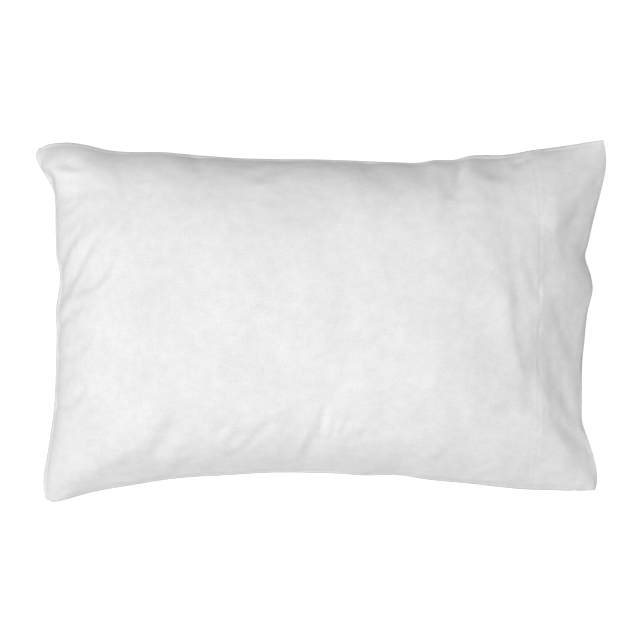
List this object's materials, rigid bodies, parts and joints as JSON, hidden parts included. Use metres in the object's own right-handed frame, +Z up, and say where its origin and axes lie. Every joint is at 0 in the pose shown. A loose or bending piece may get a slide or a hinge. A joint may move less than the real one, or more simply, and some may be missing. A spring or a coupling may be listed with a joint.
{
  "type": "pillowcase",
  "caption": "White cotton pillowcase, filled, lying on its back with its hemmed mouth open at one end.",
  "frame": {"origin": "on the surface that the pillowcase lies on, under the middle of its outline", "axes": "+X along its length from the sewn closed end to the open mouth, +Y across it, +Z up through the crown"},
  "size_m": [0.7744, 0.4922, 0.17],
  "materials": {
    "cotton": "plain woven white cotton, matt, with a fine uneven weave"
  },
  "bodies": {
    "root": {"pillowcase": "cotton"}
  },
  "joints": []
}
